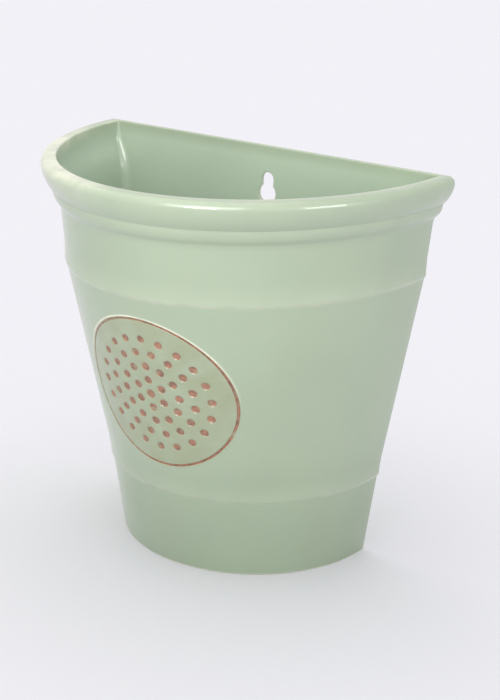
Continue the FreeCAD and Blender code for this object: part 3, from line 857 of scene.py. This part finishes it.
def rubber_finish(looks):
    """Dark matte rubber with a dusty bloom."""
    f = Finish("plug_rubber")
    f.set(IOR=1.5, Specular_IOR_Level=0.35)
    dust = f.span(f.noise(180, 4, 0.6), 0.4, 0.75, 0.0, 0.6)
    tone = list(looks.rubber)
    f.join(f.mix(dust, tone, scaled(tone, 2.2)), f.shader.inputs["Base Color"])
    f.join(f.span(f.noise(260, 3), 0.3, 0.7, 0.62, 0.8), f.shader.inputs["Roughness"])
    f.join(f.bump(f.noise(1400, 3, 0.6), 0.25, 0.0002), f.shader.inputs["Normal"])
    return f.material


def ground_finish(looks):
    """Plain pale matt paper under the pot."""
    f = Finish("pale_ground")
    f.set(Roughness=0.9, Specular_IOR_Level=0.1)
    tone = list(looks.ground)
    f.join(f.mix(f.noise(3), tone, scaled(tone, 1.004)), f.shader.inputs["Base Color"])
    return f.material


def dress(item, material):
    """Gives a piece its finish."""
    item.data.materials.append(material)


# ---------------------------------------------------------------- settings
class PlanterSizes(PropertyGroup):
    """Sizes of the planter's visible details."""

    step_proud: FloatProperty(
        name="Step Lip", description="How far each step's lip stands out from the wall",
        default=0.9 * MM, min=0.0002, max=0.003, unit="LENGTH", precision=4)
    groove_radius: FloatProperty(
        name="Ring Radius", description="Radius of the round groove on the front",
        default=49.05 * MM, min=0.046, max=0.0515, unit="LENGTH", precision=4)
    groove_width: FloatProperty(
        name="Ring Width", description="Width of the round groove",
        default=2.0 * MM, min=0.0008, max=0.003, unit="LENGTH", precision=4)
    groove_depth: FloatProperty(
        name="Ring Depth", description="Depth of the round groove",
        default=0.9 * MM, min=0.0, max=0.0015, unit="LENGTH", precision=4)
    dot_depth: FloatProperty(
        name="Dot Depth", description="Depth of the dots pressed inside the ring",
        default=0.9 * MM, min=0.0, max=0.0015, unit="LENGTH", precision=4)
    decor_side: FloatProperty(
        name="Ring Side Shift", description="How far the ring's middle lies to the right",
        default=2.36 * MM, min=-0.004, max=0.006, unit="LENGTH", precision=4)
    decor_level: FloatProperty(
        name="Ring Level", description="Height of the ring's middle above the ground",
        default=123.73 * MM, min=0.121, max=0.126, unit="LENGTH", precision=4)
    plug_sides: IntProperty(
        name="Plug Sides", description="Columns round each plug", default=72, min=24, max=160)


class PlanterLooks(PropertyGroup):
    """Colours and gloss of the planter's finishes."""

    sage: FloatVectorProperty(
        name="Sage", description="Colour of the pot's skin", subtype="COLOR",
        default=(0.372, 0.452, 0.328), min=0.0, max=1.0)
    # Painted light: a lighter copy of the sage for the inside, standing in for the light that falls
    # into the pot.
    inner: FloatVectorProperty(
        name="Inside", description="Colour of the painted_lighter inside", subtype="COLOR",
        default=(0.488, 0.590, 0.466), min=0.0, max=1.0)
    # Painted highlight: this cream is painted on the edges, partly as abrasion, and as highlight on
    # the rim's left end and on the top side of the groove's lip.
    cream: FloatVectorProperty(
        name="Worn Edge", description="Colour of the rubbed edges", subtype="COLOR",
        default=(0.76, 0.77, 0.62), min=0.0, max=1.0)
    clay: FloatVectorProperty(
        name="Clay Wash", description="Colour of the wash in the carving", subtype="COLOR",
        default=(0.28, 0.118, 0.072), min=0.0, max=1.0)
    haze: FloatVectorProperty(
        name="Haze", description="Colour of the thin wash left inside the ring", subtype="COLOR",
        default=(0.27, 0.26, 0.125), min=0.0, max=1.0)
    rubber: FloatVectorProperty(
        name="Rubber", description="Colour of the drain plugs", subtype="COLOR",
        default=(0.02, 0.022, 0.02), min=0.0, max=1.0)
    ground: FloatVectorProperty(
        name="Ground", description="Colour of the floor under the pot", subtype="COLOR",
        default=(0.855, 0.847, 0.895), min=0.0, max=1.0)
    roughness: FloatProperty(
        name="Roughness", description="Mean roughness of the pot's skin",
        default=0.36, min=0.05, max=1.0, subtype="FACTOR")


# ---------------------------------------------------------------- operators
class PLANTER_OT_wall(Operator):
    """Makes the wall, rim and foot with the keyhole and the carved panel"""

    bl_idname = "planter.wall"
    bl_label = "Wall and Rim"

    def execute(self, context):
        wall = make_wall(context.scene.planter_sizes)
        dress(wall, sage_finish(context.scene.planter_looks))
        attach(wall, "pot")
        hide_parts("pot_shell")
        return {"FINISHED"}


class PLANTER_OT_floor(Operator):
    """Makes the floor plate with its three drain holes"""

    bl_idname = "planter.floor"
    bl_label = "Floor Plate"

    def execute(self, context):
        plate = make_floor()
        dress(plate, bpy.data.materials["sage_satin"])
        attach(plate, "pot")
        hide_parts("pot_shell")
        return {"FINISHED"}


class PLANTER_OT_plugs(Operator):
    """Makes the three push-in drain plugs"""

    bl_idname = "planter.plugs"
    bl_label = "Drain Plugs"

    def execute(self, context):
        material = rubber_finish(context.scene.planter_looks)
        for side, spot in zip(("left", "right", "front"), DRAINS):
            plug = make_plug("plug_" + side + "_rubber", spot, FLOOR_UNDERSIDE - 0.1,
                             context.scene.planter_sizes.plug_sides)
            dress(plug, material)
            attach(plug, "plug_" + side)
            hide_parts("drain_plug_" + side)
        return {"FINISHED"}


def add_light(name, kind, energy, colour, spot=None, towards=None, **settings):
    """A light that shines from a spot at the middle of the pot, or along towards.

    It isn't seen itself. The settings are the light's own.
    """
    light = bpy.data.lights.new(name, kind)
    light.energy = energy
    light.color = colour
    for setting, value in settings.items():
        setattr(light, setting, value)
    item = bpy.data.objects.new(name, light)
    aim = Vector(towards) if spot is None else POT_MIDDLE - Vector(spot)
    item.location = spot or (0, 0, 0)
    item.visible_camera = False
    item.rotation_euler = aim.to_track_quat("-Z", "Y").to_euler()
    bpy.context.scene.collection.objects.link(item)
    return item


def soft_room():
    """An even white room whose own look matches the ground, so that no horizon shows."""
    world = bpy.data.worlds.new("soft_room")
    world.use_nodes = True
    nodes, links = world.node_tree.nodes, world.node_tree.links
    sky = nodes["Background"]
    sky.inputs["Color"].default_value = (1.0, 1.0, 1.0, 1.0)
    sky.inputs["Strength"].default_value = 0.78
    wall = nodes.new("ShaderNodeBackground")
    wall.inputs["Color"].default_value = (0.888, 0.880, 0.930, 1.0)
    both = nodes.new("ShaderNodeMixShader")
    links.new(nodes.new("ShaderNodeLightPath").outputs["Is Camera Ray"], both.inputs[0])
    links.new(sky.outputs[0], both.inputs[1])
    links.new(wall.outputs[0], both.inputs[2])
    links.new(both.outputs[0], nodes["World Output"].inputs["Surface"])
    return world


def light_pieces_only(*lights):
    """Keeps lights off the ground, so that it stays evenly pale."""
    lit = bpy.data.collections.new("lit_pieces")
    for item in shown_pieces():
        lit.objects.link(item)
    for light in lights:
        light.light_linking.receiver_collection = lit


def add_camera():
    """The camera, from the view fitted to the photograph."""
    side, rise, roll = (math.radians(a) for a in (VIEW_SIDE, VIEW_RISE, VIEW_ROLL))
    right = Vector((math.cos(side), math.sin(side), 0))
    back = Vector((math.sin(side) * math.cos(rise), -math.cos(side) * math.cos(rise),
                   math.sin(rise)))
    up = back.cross(right)
    across = right * math.cos(roll) + up * math.sin(roll)
    upward = up * math.cos(roll) - right * math.sin(roll)
    aim = Vector((0, BACK_PLANE + VIEW_AIM_DEPTH, VIEW_AIM_LEVEL)) + right * VIEW_AIM_ACROSS
    spot = (aim + back * VIEW_DISTANCE) * MM
    lens = bpy.data.cameras.new("view")
    lens.sensor_width = SENSOR
    lens.lens = VIEW_LENS * SENSOR / IMAGE_HEIGHT
    lens.shift_x = VIEW_SHIFT / IMAGE_HEIGHT
    lens.clip_end = 50.0
    item = bpy.data.objects.new("view", lens)
    turn = Matrix((across, upward, back)).transposed()
    item.matrix_world = Matrix.Translation(spot) @ turn.to_4x4()
    bpy.context.scene.collection.objects.link(item)
    bpy.context.scene.camera = item


class PLANTER_OT_stage(Operator):
    """Makes the pale floor, the soft lights and the camera"""

    bl_idname = "planter.stage"
    bl_label = "Stage"

    def execute(self, context):
        scene = context.scene
        corners = [(x * GROUND_HALF, y * GROUND_HALF, 0)
                   for x, y in ((-1, -1), (1, -1), (1, 1), (-1, 1))]
        mesh = bpy.data.meshes.new("ground")
        mesh.from_pydata(corners, [], [(0, 1, 2, 3)])
        ground = bpy.data.objects.new("ground", mesh)
        scene.collection.objects.link(ground)
        mesh.materials.append(ground_finish(scene.planter_looks))
        ground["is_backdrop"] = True

        scene.world = soft_room()
        scene.view_settings.view_transform = "Standard"
        add_light("ceiling", "SUN", 0.85, (1.0, 1.0, 1.0), towards=(0.2, 0.15, -0.95),
                  angle=math.radians(75))
        softbox = add_light("softbox", "AREA", 2.6, (1.0, 1.0, 0.97), (0.27, -0.56, 0.44),
                            shape="RECTANGLE", size=0.5, size_y=0.35)
        strip = add_light("warm_strip", "AREA", 5.0, (1.0, 0.91, 0.78), (-0.80, 0.38, 0.34),
                          shape="RECTANGLE", size=0.5, size_y=0.5)
        front_glint = add_light("front_glint", "AREA", 4.2, (1.0, 1.0, 0.97), (0.44, -0.97, 0.435),
                                shape="SQUARE", size=0.36)
        side_glint = add_light("side_glint", "AREA", 4.2, (1.0, 1.0, 0.97), (1.09, -0.078, 0.327),
                               shape="SQUARE", size=0.36)
        # The strip glows on the left edge without a mirrored patch, and the two glints only show
        # as gloss on the rim's roll.
        strip.visible_glossy = False
        front_glint.visible_diffuse = side_glint.visible_diffuse = False
        light_pieces_only(softbox, strip, front_glint, side_glint)
        add_camera()
        return {"FINISHED"}


class PLANTER_PT_build(Panel):
    """Lists the planter's settings and the steps that make it"""

    bl_idname = "PLANTER_PT_build"
    bl_label = "Wall Planter"
    bl_space_type = "VIEW_3D"
    bl_region_type = "UI"
    bl_category = "Wall Planter"

    def draw(self, context):
        for group in (context.scene.planter_sizes, context.scene.planter_looks):
            box = self.layout.box()
            for name in group.__annotations__:
                box.prop(group, name)
        for step in STEPS:
            self.layout.operator(step.bl_idname)


STEPS = (PLANTER_OT_wall, PLANTER_OT_floor, PLANTER_OT_plugs, PLANTER_OT_stage)
CLASSES = (PlanterSizes, PlanterLooks, *STEPS, PLANTER_PT_build)


def register():
    for item in CLASSES:
        bpy.utils.register_class(item)
    bpy.types.Scene.planter_sizes = PointerProperty(type=PlanterSizes)
    bpy.types.Scene.planter_looks = PointerProperty(type=PlanterLooks)


def unregister():
    del bpy.types.Scene.planter_looks
    del bpy.types.Scene.planter_sizes
    for item in reversed(CLASSES):
        bpy.utils.unregister_class(item)


def main():
    """Registers the classes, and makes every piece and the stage."""
    register()
    bpy.ops.planter.wall()
    bpy.ops.planter.floor()
    bpy.ops.planter.plugs()
    bpy.ops.planter.stage()


if __name__ == "__main__":
    main()
